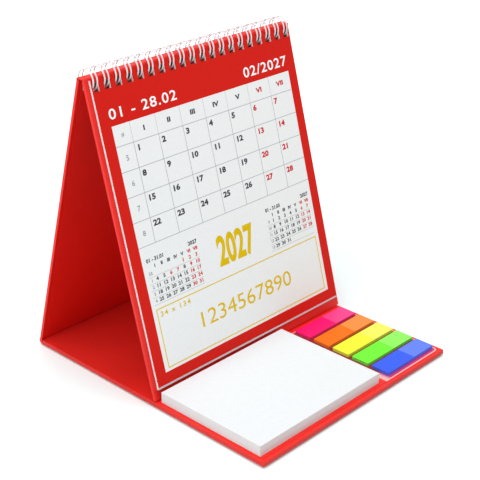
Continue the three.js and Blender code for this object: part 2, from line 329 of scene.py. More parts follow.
def harden(obj):
    """Keeps flat faces flat beside their rounded edges."""
    smooth(obj)
    bpy.ops.object.modifier_add(type="WEIGHTED_NORMAL")
    obj.modifiers[-1].keep_sharp = True
    apply_modifiers(obj)


def add_block(name, low, high):
    """A box between two corners, its place in its mesh."""
    middle = [(a + b) / 2 for a, b in zip(low, high)]
    size = [b - a for a, b in zip(low, high)]
    bpy.ops.object.select_all(action="DESELECT")
    bpy.ops.mesh.primitive_cube_add(size=1, location=middle, scale=size)
    obj = bpy.context.object
    obj.name = name
    settle(obj)
    return obj


def join(name, pieces):
    select_only(*pieces)
    if len(pieces) > 1:
        bpy.ops.object.join()
    obj = bpy.context.object
    obj.name = name
    obj.data.name = name
    return obj


def copy_of(node, name):
    """A merged copy of a CAD node's mesh, free of its body."""
    source = frame["nodes"][node]
    select_only(source)
    bpy.ops.object.duplicate()
    obj = bpy.context.object
    obj.name = name
    bpy.ops.object.parent_clear(type="CLEAR_KEEP_TRANSFORM")
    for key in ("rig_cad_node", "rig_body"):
        if key in obj:
            del obj[key]
    with editing(obj):
        bpy.ops.mesh.select_all(action="SELECT")
        bpy.ops.mesh.remove_doubles(threshold=MERGE)
        bpy.ops.mesh.dissolve_limited(angle_limit=math.radians(1))
    return obj


def dress(obj, *materials):
    obj.data.materials.clear()
    for material in materials:
        obj.data.materials.append(material)


def hand_over(obj, body, slot, *nodes):
    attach(obj, body)
    if nodes:
        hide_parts(*nodes)


# Planes of the leaves and boards

def face_plane(node, outward):
    """The plane of a node's largest flat side that looks towards outward, as a matrix.
    Its x runs to the right, y up the slope, and z out of the face. Its origin is at the lower
    middle of the face."""
    mesh = frame["nodes"][node].data
    towards = outward.normalized()
    facing = [p for p in mesh.polygons if p.normal.dot(towards) > FACING]
    normal = sum((p.normal * p.area for p in facing), Vector()).normalized()
    rise = REARWARD if normal.z > LEVEL else LEVEL_UP
    up = (rise - normal * rise.dot(normal)).normalized()
    right = up.cross(normal)
    corners = [mesh.vertices[i].co for p in facing for i in p.vertices]
    height = max(c.dot(normal) for c in corners)
    foot = min(c.dot(up) for c in corners)
    middle = (min(c.dot(right) for c in corners) + max(c.dot(right) for c in corners)) / 2
    origin = normal * height + up * foot + right * middle
    return Matrix((
        (right.x, up.x, normal.x, origin.x),
        (right.y, up.y, normal.y, origin.y),
        (right.z, up.z, normal.z, origin.z),
        (0, 0, 0, 1),
    ))


def end_of(node, plane, end):
    """How far up a plane a node's mesh reaches, at its lower end (min) or its upper end (max)."""
    inverse = plane.inverted()
    return end((inverse @ v.co).y for v in frame["nodes"][node].data.vertices)


def end_point(node, plane, end):
    """The same as a point of the plane's middle, as (y, z)."""
    return (plane @ Vector((0, end_of(node, plane, end), 0))).yz


def lean_of(plane):
    """The angle between a panel and the upright."""
    return math.asin(abs(plane.col[2].z))


def level_point(plane, height):
    """Where a panel's outer plane passes a height, as (y, z)."""
    along = (height - plane.col[3].z) / plane.col[1].z
    return (plane.col[3] + plane.col[1] * along).yz


def slope(plane):
    """The way up a panel, as (y, z)."""
    return plane.col[1].yz


def joint_named(name):
    return next(joint for joint in frame["joints"] if joint["name"] == name)


# Materials

# The sockets of a Mix node that mixes colours. Its sockets share their names, so they go by number
MIX_SHARE, MIX_FIRST, MIX_SECOND = 0, 6, 7
MIX_RESULT = 2


class Recipe:
    """A material of one Principled shader, with short calls for the nodes that feed it."""

    def __init__(self, name, base, roughness):
        self.material = bpy.data.materials.new(name)
        self.material.use_nodes = True
        self.tree = self.material.node_tree
        self.shader = self.tree.nodes["Principled BSDF"]
        self.shader.inputs["Base Color"].default_value = (*base, 1)
        self.shader.inputs["Roughness"].default_value = roughness
        self.place = self.node("ShaderNodeTexCoord").outputs["Object"]
        self.bumps = None

    def node(self, kind, **values):
        made = self.tree.nodes.new(kind)
        for key, value in values.items():
            setattr(made, key, value)
        return made

    def link(self, source, target):
        self.tree.links.new(source, target)

    def coordinate(self, axis):
        """The place along one of the object's axes."""
        apart = self.node("ShaderNodeSeparateXYZ")
        self.link(self.place, apart.inputs[0])
        return apart.outputs[axis]

    def stretched(self, scale):
        mapping = self.node("ShaderNodeMapping")
        mapping.inputs["Scale"].default_value = scale
        self.link(self.place, mapping.inputs["Vector"])
        return mapping.outputs["Vector"]

    def noise(self, per_metre, detail=2.0, stretch=(1, 1, 1)):
        noise = self.node("ShaderNodeTexNoise")
        noise.inputs["Scale"].default_value = per_metre
        noise.inputs["Detail"].default_value = detail
        self.link(self.stretched(stretch), noise.inputs["Vector"])
        return noise.outputs["Fac"]

    def between(self, value, low, high, out_low, out_high):
        ranged = self.node("ShaderNodeMapRange")
        ranged.inputs["From Min"].default_value = low
        ranged.inputs["From Max"].default_value = high
        ranged.inputs["To Min"].default_value = out_low
        ranged.inputs["To Max"].default_value = out_high
        self.link(value, ranged.inputs["Value"])
        return ranged.outputs["Result"]

    def mottle(self, per_metre, detail=2.0, stretch=(1, 1, 1), low=0.3, high=0.7):
        """Noise spread from 0 to 1 between its low and its high."""
        return self.between(self.noise(per_metre, detail, stretch), low, high, 0, 1)

    def math(self, operation, first, second=None):
        made = self.node("ShaderNodeMath", operation=operation)
        for socket, value in zip(made.inputs, (first, second)):
            if isinstance(value, (int, float)):
                socket.default_value = value
            elif value is not None:
                self.link(value, socket)
        return made.outputs["Value"]

    def mix(self, portion, first, second):
        made = self.node("ShaderNodeMix", data_type="RGBA")
        for index, value in ((MIX_SHARE, portion), (MIX_FIRST, first), (MIX_SECOND, second)):
            socket = made.inputs[index]
            if isinstance(value, (int, float)):
                socket.default_value = value
            elif isinstance(value, tuple):
                socket.default_value = (*value[:3], 1)
            else:
                self.link(value, socket)
        return made.outputs[MIX_RESULT]

    def tones(self, portion, base, dark, bright):
        """A colour that wanders between a darker and a brighter tone."""
        return self.mix(portion, shade(base, dark), shade(base, bright))

    def looks_along(self, side):
        """1 on the faces that look along side, 0 on the others."""
        axis = self.node("ShaderNodeVectorMath", operation="DOT_PRODUCT")
        self.link(self.node("ShaderNodeTexCoord").outputs["Normal"], axis.inputs[0])
        axis.inputs[1].default_value = side
        return self.math("GREATER_THAN", axis.outputs["Value"], 0.5)

    def paint(self, source):
        self.link(source, self.shader.inputs["Base Color"])

    def rough(self, source):
        self.link(source, self.shader.inputs["Roughness"])

    def gloss(self, level):
        self.shader.inputs["Specular IOR Level"].default_value = level

    def bump(self, height, strength, distance):
        """Adds one relief on top of those that are there."""
        bump = self.node("ShaderNodeBump")
        bump.inputs["Strength"].default_value = strength
        bump.inputs["Distance"].default_value = distance
        self.link(height, bump.inputs["Height"])
        if self.bumps is not None:
            self.link(self.bumps, bump.inputs["Normal"])
        self.bumps = bump.outputs["Normal"]
        self.link(self.bumps, self.shader.inputs["Normal"])


def shade(base, factor):
    return tuple(min(1, channel * factor) for channel in base[:3])


def paler(base, portion):
    """A colour moved towards white by a portion of what the eye sees."""
    moved = []
    for channel in base[:3]:
        seen = 12.92 * channel if channel <= 0.0031308 else 1.055 * channel ** (1 / 2.4) - 0.055
        moved.append(255 * (seen + (1 - seen) * portion))
    return linear(*moved)


def laminated_paper(name, base, roughness=0.42, inner=None, side=None, behind=None):
    """Printed paper under matt film: fine grain, a soft cloud of tone and an uneven sheen. Faces
    that look along side take the inner colour. Behind holds a deeper colour of painted shade and
    where along Y it begins and is full."""
    recipe = Recipe(name, base, roughness)
    cloud = recipe.mottle(18, 3, low=0.35, high=0.65)

    def printed(red):
        return recipe.tones(cloud, red, 0.95, 1.04)

    tone = printed(base)
    if inner is not None:
        tone = recipe.mix(recipe.looks_along(side), tone, printed(inner))
    if behind is not None:
        deep, near, far = behind
        tone = recipe.mix(recipe.between(recipe.coordinate("Y"), near, far, 0, 1), tone, printed(deep))
    recipe.paint(tone)
    recipe.rough(recipe.between(recipe.noise(60, 4), 0.3, 0.7, roughness - 0.04, roughness + 0.06))
    recipe.bump(recipe.noise(1600, 3), 0.08, 0.02 * MM)
    recipe.gloss(0.22)
    return recipe.material


def plain_paper(name, base, roughness=0.75):
    """Uncoated paper: short fibres and a very light mottle."""
    recipe = Recipe(name, base, roughness)
    recipe.paint(recipe.tones(recipe.mottle(900, 4, (1, 0.35, 1)), base, 0.975, 1.015))
    recipe.bump(recipe.noise(2200, 3), 0.1, 0.015 * MM)
    recipe.gloss(0.25)
    return recipe.material


def ink(name, base):
    """Printing ink on paper: the fibres break it up a little."""
    recipe = Recipe(name, base, 0.6)
    recipe.paint(recipe.tones(recipe.mottle(1400, 3, low=0.35, high=0.75), base, 0.94, 1.06))
    recipe.gloss(0.08)
    return recipe.material


def pressed_board(name, base):
    """Grey board: layered, with coarse fibres."""
    recipe = Recipe(name, base, 0.9)
    fibres = recipe.noise(700, 5, (1, 1, 3))
    recipe.paint(recipe.tones(recipe.between(fibres, 0.3, 0.7, 0, 1), base, 0.8, 1.15))
    recipe.bump(fibres, 0.4, 0.06 * MM)
    return recipe.material


def leaf_paper(name, side, red, blank, edge):
    """A printed leaf: the red ground on the faces that look along side, blank paper behind, and
    cut edges in a brighter white than the blank paper, painted light along the leaves' edges."""
    recipe = Recipe(name, blank, 0.6)
    fibres = recipe.mottle(900, 4)
    ground, back, cut = (recipe.tones(fibres, tone, 0.97, 1.02) for tone in (red, blank, edge))
    unprinted = recipe.mix(recipe.looks_along(-side), cut, back)
    recipe.paint(recipe.mix(recipe.looks_along(side), unprinted, ground))
    recipe.bump(recipe.noise(2200, 3), 0.08, 0.015 * MM)
    recipe.gloss(0.12)
    return recipe.material


def coated_wire(name, base):
    """Nylon on steel: smooth, slightly glossy, with a faint ripple."""
    recipe = Recipe(name, base, 0.28)
    recipe.paint(recipe.tones(recipe.mottle(260, 3), base, 0.95, 1.0))
    recipe.rough(recipe.between(recipe.noise(400, 3), 0.3, 0.7, 0.22, 0.36))
    recipe.bump(recipe.noise(900, 2), 0.06, 0.03 * MM)
    return recipe.material


def stacked_paper(name, base, low, sheet):
    """The sides of a block of sheets: fine level lines of light and shade."""
    recipe = Recipe(name, base, 0.8)
    layer = recipe.math("DIVIDE", recipe.math("SUBTRACT", recipe.coordinate("Z"), low), sheet)
    wander = recipe.between(recipe.noise(40, 2, (1, 1, 0.2)), 0, 1, -0.6, 0.6)
    wave = recipe.math("SINE", recipe.math("MULTIPLY", recipe.math("ADD", layer, wander), 2 * math.pi))
    recipe.paint(recipe.tones(recipe.mottle(2600, 2, (0.02, 0.02, 1)), base, 0.93, 1.0))
    recipe.bump(wave, 0.25, 0.02 * MM)
    recipe.bump(recipe.noise(1800, 3), 0.08, 0.01 * MM)
    recipe.gloss(0.2)
    return recipe.material


def fluorescent_film(name, base, split, end_lift, side_lift):
    """A page flag: full colour at the near end, paler film beyond the split, and painted light that makes
    the sides paler.
    """
    recipe = Recipe(name, base, 0.38)
    blur = 0.15 * MM
    far = recipe.between(recipe.coordinate("X"), split - blur, split + blur, 0, 1)
    full = recipe.tones(recipe.mottle(500, 3), base, 0.97, 1.02)
    top = recipe.mix(far, full, paler(base, end_lift))
    # Painted light: every face but the top takes the paler side colour
    recipe.paint(recipe.mix(recipe.looks_along(LEVEL_UP), paler(base, side_lift), top))
    recipe.rough(recipe.between(far, 0, 1, 0.5, 0.4))
    recipe.bump(recipe.noise(1200, 2), 0.06, 0.02 * MM)
    recipe.gloss(0.12)
    return recipe.material


def clear_film(name, base, alpha, roughness):
    """Thin clear film over the red board."""
    recipe = Recipe(name, base, roughness)
    recipe.shader.inputs["Alpha"].default_value = alpha
    recipe.paint(recipe.tones(recipe.mottle(120, 3), base, 0.96, 1.02))
    recipe.bump(recipe.noise(90, 2), 0.05, 0.05 * MM)
    recipe.material.surface_render_method = "BLENDED"
    return recipe.material


def film_front(name, pale, deep, shine, corner, reach, end_fade):
    """The film in front of the last flag, with that flag's shade and reflection painted on it close
    by, fainter towards the film's rim. The corner is the flag's near corner, reach the width of the
    strip and end_fade how far it stays pale."""
    recipe = Recipe(name, pale, 0.2)
    blur = 0.2 * MM
    out = recipe.between(recipe.coordinate("Y"), corner.y, corner.y - reach, 0, 1)
    inward = recipe.between(recipe.coordinate("X"), corner.x - end_fade, corner.x - blur, 0, 1)
    recipe.paint(recipe.mix(inward, pale, recipe.mix(out, deep, shine)))
    recipe.bump(recipe.noise(90, 2), 0.05, 0.05 * MM)
    recipe.gloss(0.2)
    return recipe.material


# The wrapped boards

def base_paper(settings):
    """The red of the base with painted light and shade: the lighter red on the faces that look up, and
    painted shade that makes it deeper along its edges and where it lies under the panels.
    """
    # Painted shade: the edges and the part under the panels take darker copies of the base's red
    edge = shade(settings.base_red, settings.edge_depth)
    deep = shade(settings.base_red, settings.base_depth)
    return laminated_paper(
        "base_paper", edge, inner=settings.base_red, side=LEVEL_UP,
        behind=(deep, settings.shade_start, settings.shade_end))


def cover(node, body):
    """One board's wrapping paper, with the rounded folds that paper makes along its edges."""
    settings = bpy.context.scene.cal_cover
    obj = copy_of(node, f"{body}_cover")
    plane = face_plane(node, OUTWARD[body])
    inverse = plane.inverted()
    corners = [inverse @ v.co for v in obj.data.vertices]
    lows = [min(c[i] for c in corners) for i in range(3)]
    highs = [max(c[i] for c in corners) for i in range(3)]
    sides = [(axis, limit) for axis in range(3) for limit in (lows[axis], highs[axis])]
    foot, top = (1, lows[1]), (1, highs[1])
    open_ends = [foot, top] if body == "back" else [top]
    outer = (2, lows[2] if body == "base" else highs[2])

    def lies_on(edge, side):
        axis, limit = side
        return all(abs((inverse @ v.co)[axis] - limit) < NEAR for v in edge.verts)

    def on_rim(edge):
        """Whether two outer sides meet along an edge, away from the ends at the folds."""
        meeting = sum(lies_on(edge, side) for side in sides)
        return meeting == 2 and not any(lies_on(edge, end) for end in open_ends)

    def on_outer_rim(edge):
        return on_rim(edge) and lies_on(edge, outer)

    with editing(obj):
        for test, radius in ((on_outer_rim, settings.outer_round), (on_rim, settings.edge_round)):
            pick(obj, "edges", test)
            bpy.ops.mesh.bevel(offset=radius, segments=4, affect="EDGES", clamp_overlap=False)
        bpy.ops.mesh.select_all(action="SELECT")
        bpy.ops.mesh.normals_make_consistent(inside=False)
    if body == "base":
        # The base's cover takes its red with painted light on top and painted shade on its edges and under
        # the panels
        dress(obj, base_paper(settings))
    else:
        inward = -plane.col[2].xyz
        dress(obj, laminated_paper(f"{body}_cover_paper", settings.red, inner=settings.lining, side=inward))
    harden(obj)
    hand_over(obj, body, "red_wrap", node)


class CAL_OT_covers(bpy.types.Operator):
    """Wrap the base, the back panel and the front panel in red paper"""

    bl_idname = "calendar.covers"
    bl_label = "Covers"

    def execute(self, context):
        for body in OUTWARD:
            cover(f"{body}_wrap", body)
        return {"FINISHED"}


def lining(node, body, paper, reach):
    """One lining sheet, its end at the rear fold moved by reach up its own slope."""
    obj = copy_of(node, f"{body}_lining")
    plane = face_plane(node, OUTWARD[body])
    inverse = plane.inverted()
    limit = end_of(node, plane, max if reach > 0 else min)
    with editing(obj):
        pick(obj, "verts", lambda vert: abs((inverse @ vert.co).y - limit) < NEAR)
        bpy.ops.transform.translate(value=plane.col[1].xyz * reach)
    dress(obj, paper)
    hand_over(obj, body, "red_liner", node)


class CAL_OT_boards(bpy.types.Operator):
    """Give the grey boards and their lining sheets their finish"""

    bl_idname = "calendar.boards"
    bl_label = "Boards and linings"

    def execute(self, context):
        settings = context.scene.cal_cover
        board = pressed_board("grey_board", settings.board)
        panel_paper = laminated_paper("lining_paper", settings.lining, 0.5)
        for body in OUTWARD:
            dress(frame["nodes"][f"{body}_board"], board)
        dress(frame["nodes"]["front_liner"], panel_paper)
        # The base's lining takes the same painted shade as the base's cover
        lining("base_liner", "base", base_paper(settings), settings.base_reach)
        lining("back_liner", "back", panel_paper, -settings.back_reach)
        return {"FINISHED"}


# The paper that bends at the two folds

def bent_strip(name, thick, place, facing, legs):
    """A strip of paper drawn out from a thin slice that stands at place. Each leg is a straight
    move in the YZ plane, or a turn about a centre: (centre, angle, steps)."""
    low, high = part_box("base_wrap")
    height = 1 * MM
    obj = add_block(name, (low.x, -thick / 2, 0), (high.x, thick / 2, height))
    with editing(obj):
        pick(obj, "verts", lambda vert: vert.co.z > height / 2)
        bpy.ops.mesh.delete(type="VERT")
    obj.matrix_world = Matrix.Translation((0, *place)) @ Matrix.Rotation(facing, 4, "X")
    settle(obj)
    with editing(obj):
        bpy.ops.mesh.select_mode(type="FACE")
        bpy.ops.mesh.select_all(action="SELECT")
        for leg in legs:
            if len(leg) == 2:
                bpy.ops.mesh.extrude_region_move(TRANSFORM_OT_translate={"value": (0, *leg)})
            else:
                centre, turn, steps = leg
                bpy.ops.mesh.spin(steps=steps, angle=-turn, center=(0, *centre), axis=(1, 0, 0))
        bpy.ops.mesh.select_all(action="SELECT")
        bpy.ops.mesh.remove_doubles(threshold=FINE_MERGE)
        bpy.ops.mesh.normals_make_consistent(inside=False)
    return obj


def rear_hinge(settings, paper):
    """The paper round the rear bottom corner, from the base's underside up the back panel."""
    back = face_plane("back_wrap", BACK_OUT)
    lean = lean_of(back)
    radius = settings.rear_round
    corner = level_point(back, 0)
    tangent = radius / math.tan((math.pi / 2 - lean) / 2)
    centre = (corner.x - tangent, radius)
    arc_end = corner + slope(back) * tangent
    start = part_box("base_wrap")[1].y
    end = end_point("back_wrap", back, min)
    thick = settings.hinge_paper
    obj = bent_strip("rear_fold_paper", thick, (start, thick / 2), math.pi / 2, [
        (centre[0] - start, 0),
        (centre, math.pi / 2 + lean, settings.fold_steps),
        tuple(end - arc_end),
    ])
    dress(obj, paper)
    smooth(obj, 50)
    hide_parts("rear_hinge")
    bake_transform(obj)


def ridge_hinge(settings, paper):
    """The paper over the ridge, from the front panel's top edge to the back panel's."""
    front = face_plane("front_wrap", FRONT_OUT)
    back = face_plane("back_wrap", BACK_OUT)
    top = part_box("ridge_hinge")[1].z
    radius = settings.ridge_round
    front_corner, back_corner = level_point(front, top), level_point(back, top)
    front_tangent = radius / math.tan((math.pi / 2 + lean_of(front)) / 2)
    back_tangent = radius / math.tan((math.pi / 2 + lean_of(back)) / 2)
    first = end_point("front_wrap", front, max)
    last = end_point("back_wrap", back, max)
    inward = Vector((math.cos(lean_of(front)), -math.sin(lean_of(front))))
    front_arc = front_corner - slope(front) * front_tangent
    back_arc = back_corner - slope(back) * back_tangent
    front_centre = (front_corner.x + front_tangent, top - radius)
    back_centre = (back_corner.x - back_tangent, top - radius)
    thick = settings.ridge_paper
    place = first + inward * thick / 2
    obj = bent_strip("ridge_fold_paper", thick, tuple(place), -lean_of(front), [
        tuple(front_arc - first),
        (front_centre, -(math.pi / 2 - lean_of(front)), settings.fold_steps),
        (back_centre[0] - front_centre[0], 0),
        (back_centre, -(math.pi / 2 - lean_of(back)), settings.fold_steps),
        tuple(last - back_arc),
    ])
    dress(obj, paper)
    smooth(obj, 50)
    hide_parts("ridge_hinge")
    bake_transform(obj)


class CAL_OT_folds(bpy.types.Operator):
    """Bend the wrapping paper round the rear corner and over the ridge"""

    bl_idname = "calendar.folds"
    bl_label = "Folds"

    def execute(self, context):
        settings = context.scene.cal_cover
        paper = laminated_paper("fold_paper", settings.red)
        rear_hinge(settings, paper)
        ridge_hinge(settings, paper)
        return {"FINISHED"}


# The twin loop wire

def wire_route(settings):
    """The wire's middle line: for each double loop up one side, round the tip and down the other,
    with a bend at the root that leads to the next."""
    front = face_plane("front_wrap", FRONT_OUT)
    back = face_plane("back_wrap", BACK_OUT)
    ring = Vector(joint_named("ridge_fold")["pos_m"])
    behind_front = -(front.inverted() @ ring).z
    behind_back = -(back.inverted() @ ring).z
    root = math.acos((behind_front - behind_back) / 2 / settings.radius)
    up, out = front.col[1].xyz, front.col[2].xyz
    reach, bend = settings.spacing / 2, settings.root_bend
    tip = 2 * math.pi * settings.radius - settings.tip_gap - reach
    bend_turns = [math.pi / 2 * k / settings.bend_steps for k in range(settings.bend_steps + 1)]
    leg = [bend + (tip - bend) * k / settings.leg_steps for k in range(1, settings.leg_steps)]
    tip_turns = [math.pi * k / settings.tip_steps for k in range(settings.tip_steps + 1)]
    unit = [(-reach - bend + bend * math.sin(a), bend - bend * math.cos(a)) for a in bend_turns]
    unit += [(-reach, u) for u in leg]
    unit += [(-reach * math.cos(a), tip + reach * math.sin(a)) for a in tip_turns]
    unit += [(reach, u) for u in reversed(leg)]
    unit += [(reach + bend - bend * math.cos(a), bend - bend * math.sin(a)) for a in bend_turns]
    cut = len(bend_turns)
    route = []
    for i in range(settings.loops):
        x = (i - (settings.loops - 1) / 2) * settings.pitch
        first = cut - 1 if i == 0 else 0
        for across, along in unit[first:]:
            angle = root - along / settings.radius
            radial = out * math.cos(angle) - up * math.sin(angle)
            point = ring + radial * settings.radius
            point.x = x + across
            route.append(point)
    return route


class CAL_OT_wire(bpy.types.Operator):
    """Wind the white twin loop wire through the holes"""

    bl_idname = "calendar.wire"
    bl_label = "Twin loop wire"

    def execute(self, context):
        settings = context.scene.cal_wire
        route = wire_route(settings)
        bpy.ops.object.select_all(action="DESELECT")
        bpy.ops.curve.primitive_nurbs_path_add(location=(0, 0, 0))
        obj = context.object
        curve = obj.data
        curve.splines.clear()
        spline = curve.splines.new("POLY")
        spline.points.add(len(route) - 1)
        for point, place in zip(spline.points, route):
            point.co = (*place, 1)
        spline.use_smooth = True
        curve.dimensions = "3D"
        curve.bevel_depth = settings.diameter / 2
        curve.bevel_resolution = 4
        curve.use_fill_caps = True
        bpy.ops.object.convert(target="MESH")
        obj = context.object
        obj.name = "twin_loop_wire"
        with editing(obj):
            bpy.ops.mesh.select_all(action="SELECT")
            bpy.ops.mesh.remove_doubles(threshold=MERGE)
            bpy.ops.mesh.normals_make_consistent(inside=False)
        dress(obj, coated_wire("wire_coating", settings.white))
        smooth(obj, 60)
        hand_over(obj, "front", "white_wire", "wire_binding")
        return {"FINISHED"}


# The month leaves and their print

# Places on a leaf, in millimetres: across from its middle, and up from its bottom edge
WHITE_AREA = (-70.1, 70.9, 7.6, 148.55)
# Height of the strip of painted shade, in the leaf edge grey, along the bottom of each print
SHADED_EDGE_HEIGHT = 1.1
TITLE_LEFT, TITLE_RIGHT, TITLE_FOOT = -70.4, 70.6, 152.3
TABLE_TOP = WHITE_AREA[3]
TABLE_HEAD = 137.1
TABLE_FOOT = 80.2
NUMERAL_FOOT = 141.7
WEEK_EDGE = -57.75
WEEK_DROP = 1.5
DAY_PITCH = 18.36
DAY_INSET = 1.55
DAY_DROP = 5.15
HEAD_LINE_SHARE = 0.8
SMALL_LEFT = {-1: -67.6, 1: 28.75}
SMALL_WIDTH = 39.1
SMALL_TITLE_FOOT = 70.9
SMALL_TITLE_INSET = 0.6
SMALL_NUMERAL_FOOT = 67.21
SMALL_FIRST_FOOT = 63.55
SMALL_LINE_DROP = 1.25
SMALL_PITCH = 3.96
SMALL_WEEK = 2.0
SMALL_FIRST_DAY = 6.0
SMALL_DAY_PITCH = 5.18
GOLD_FIELD = (-67.1, 68.0, 9.5, 43.7)
GOLD_MIDDLE = 0.5
GOLD_YEAR_FOOT = 51.9
GOLD_SIZE_INSET, GOLD_SIZE_FOOT = 2.0, 38.9
GOLD_LINE_FOOT = 22.0

# Heights above the paper, in layers of ink
GROUND = (0.5, 1)
PRINT = (1.4, 2.2)

# How much brighter the lines in the table's head are, and how much paler the gold field's outline is
PALE_RULE = 1.35
PALE_GOLD = 0.1

# Height of a numeral as a share of the font's size
FONT_HEIGHT = 0.69

# Heights in millimetres. Weight is a share of the size, wide and spacing are shares of the font's own
LETTERING = {
    "title": {"height": 5.5, "weight": 0.012, "wide": 1.3, "spacing": 1.15},
    "title_year": {"height": 5.7, "weight": 0.012, "wide": 1.25, "spacing": 1.12, "align": "RIGHT"},
    "numeral": {"height": 2.6, "weight": 0.045, "wide": 1.45, "align": "CENTER"},
    "day": {"height": 3.1, "weight": 0.045, "wide": 1.26},
    "week_sign": {"height": 2.4, "weight": 0.01, "align": "CENTER"},
    "week": {"height": 3.0, "weight": 0.012, "align": "CENTER"},
    "small_title": {"height": 2.1, "weight": 0.04, "wide": 1.05},
    "small_year": {"height": 2.1, "weight": 0.04, "wide": 1.1, "align": "RIGHT"},
    "small_numeral": {"height": 1.8, "weight": 0.05, "wide": 1.15, "align": "CENTER"},
    "small_day": {"height": 2.0, "weight": 0.035, "wide": 1.2, "align": "CENTER"},
    "small_week": {"height": 1.8, "weight": 0.03, "align": "CENTER"},
    "gold_year": {"height": 16.6, "weight": 0.035, "wide": 0.62, "align": "CENTER"},
    "gold_size": {"height": 2.9, "weight": 0.02, "wide": 1.2, "spacing": 1.3},
    "gold_line": {"height": 9.1, "wide": 1.22, "align": "CENTER"},
}

# Steps in the curves of the lettering, more where it is higher than LARGE millimetres
LARGE = 4
LARGE_STEPS, SMALL_STEPS = 4, 2


class Page:
    """The print of one leaf, laid out flat: x across and v up, in millimetres."""

    def __init__(self, inks, layer):
        self.inks = inks
        self.layer = layer
        self.pieces = []

    def keep(self, obj, ink):
        dress(obj, self.inks[ink])
        self.pieces.append(obj)

    def field(self, x0, x1, v0, v1, ink, levels=PRINT):
        low, high = (level * self.layer for level in levels)
        self.keep(add_block("print", (x0 * MM, v0 * MM, low), (x1 * MM, v1 * MM, high)), ink)

    def across(self, x0, x1, v, width, ink):
        self.field(x0, x1, v - width / 2, v + width / 2, ink)

    def upright(self, x, v0, v1, width, ink):
        self.field(x - width / 2, x + width / 2, v0, v1, ink)

    def words(self, body, x, v, ink, style, pitch=None):
        """Numbers in one style of lettering with their foot at v. Their lines lie a pitch apart."""
        if not body.strip():
            return
        look = LETTERING[style]
        size = look["height"] / FONT_HEIGHT * MM
        low, high = (level * self.layer for level in PRINT)
        bpy.ops.object.select_all(action="DESELECT")
        bpy.ops.object.text_add(location=(0, 0, 0))
        text = bpy.context.object
        text.data.body = body
        text.data.size = size
        text.data.align_x = look.get("align", "LEFT")
        text.data.offset = look.get("weight", 0) * size
        text.data.extrude = (high - low) / 2
        text.data.space_character = look.get("spacing", 1)
        text.data.resolution_u = LARGE_STEPS if look["height"] > LARGE else SMALL_STEPS
        if pitch:
            text.data.space_line = pitch * MM / size
        bpy.ops.object.convert(target="MESH")
        text = bpy.context.object
        text.scale.x = look.get("wide", 1)
        text.location = (x * MM, v * MM, (low + high) / 2)
        settle(text)
        self.keep(text, ink)

    def lay(self, name, plane):
        """Joins the print into one piece and lays it on a leaf."""
        obj = join(name, self.pieces)
        obj.matrix_world = plane
        settle(obj)
        return obj


def weeks_of(year, month):
    """The weeks of a month, Monday first, and their numbers in the year."""
    rows = calendar.monthcalendar(year, month)
    first_days = [next(day for day in row if day) for row in rows]
    return rows, [datetime.date(year, month, day).isocalendar()[1] for day in first_days]


def month_beside(month, side):
    """The year and the month one before (-1) or one after (1) a month of the year."""
    year, index = divmod(YEAR * 12 + month - 1 + side, 12)
    return year, index + 1


def first_to_last(year, month):
    return f"01 - {calendar.monthrange(year, month)[1]}.{month:02d}"


def lines_of(items):
    return "\n".join(str(item) for item in items)


def head_ink(weekday):
    return "day_red" if weekday >= SATURDAY else "dark"


def print_days(page, rows, month, weekday, x, v, style, pitch):
    """One weekday's numbers, a line to each week, with the days of rest in red."""
    days = [row[weekday] for row in rows]
    rest = [weekday >= SATURDAY or day in REST_DAYS.get(month, ()) for day in days]
    for ink, wanted in (("dark", False), ("day_red", True)):
        lines = lines_of(day if day and red == wanted else " " for day, red in zip(days, rest))
        page.words(lines, x, v, ink, style, pitch)


def print_title(page, month):
    page.words(first_to_last(YEAR, month), TITLE_LEFT, TITLE_FOOT, "title", "title")
    page.words(f"{month:02d}/{YEAR}", TITLE_RIGHT, TITLE_FOOT, "title", "title_year")


def print_table(page, settings, month):
    rows, numbers = weeks_of(YEAR, month)
    pitch = (TABLE_HEAD - TABLE_FOOT) / len(rows)
    line = settings.line / MM
    left, right = WHITE_AREA[:2]
    for i in range(len(rows) + 1):
        page.across(left, right, TABLE_HEAD - i * pitch, line, "rule")
    for i in range(len(NUMERALS)):
        x = WEEK_EDGE + i * DAY_PITCH
        page.upright(x, TABLE_FOOT, TABLE_HEAD, line, "rule")
        page.upright(x, TABLE_HEAD, TABLE_TOP, line * HEAD_LINE_SHARE, "pale_rule")
    week = (left + WEEK_EDGE) / 2
    page.words("#", week, NUMERAL_FOOT, "grey", "week_sign")
    page.words(lines_of(numbers), week, TABLE_HEAD - pitch / 2 - WEEK_DROP, "grey", "week", pitch)
    for weekday, numeral in enumerate(NUMERALS):
        x = WEEK_EDGE + weekday * DAY_PITCH
        page.words(numeral, x + DAY_PITCH / 2, NUMERAL_FOOT, head_ink(weekday), "numeral")
        print_days(page, rows, month, weekday, x + DAY_INSET, TABLE_HEAD - DAY_DROP, "day", pitch)


def print_small_month(page, settings, year, month, left):
    rows, numbers = weeks_of(year, month)
    right = left + SMALL_WIDTH
    line = settings.fine_line / MM
    page.words(first_to_last(year, month), left + SMALL_TITLE_INSET, SMALL_TITLE_FOOT, "dark", "small_title")
    page.words(str(year), right, SMALL_TITLE_FOOT, "dark", "small_year")
    for i in range(len(rows)):
        page.across(left, right, SMALL_FIRST_FOOT - SMALL_LINE_DROP - i * SMALL_PITCH, line, "rule")
    page.words(
        lines_of(numbers), left + SMALL_WEEK, SMALL_FIRST_FOOT, "grey", "small_week", SMALL_PITCH)
    for weekday, numeral in enumerate(NUMERALS):
        x = left + SMALL_FIRST_DAY + weekday * SMALL_DAY_PITCH
        page.words(numeral, x, SMALL_NUMERAL_FOOT, head_ink(weekday), "small_numeral")
        print_days(page, rows, month, weekday, x, SMALL_FIRST_FOOT, "small_day", SMALL_PITCH)


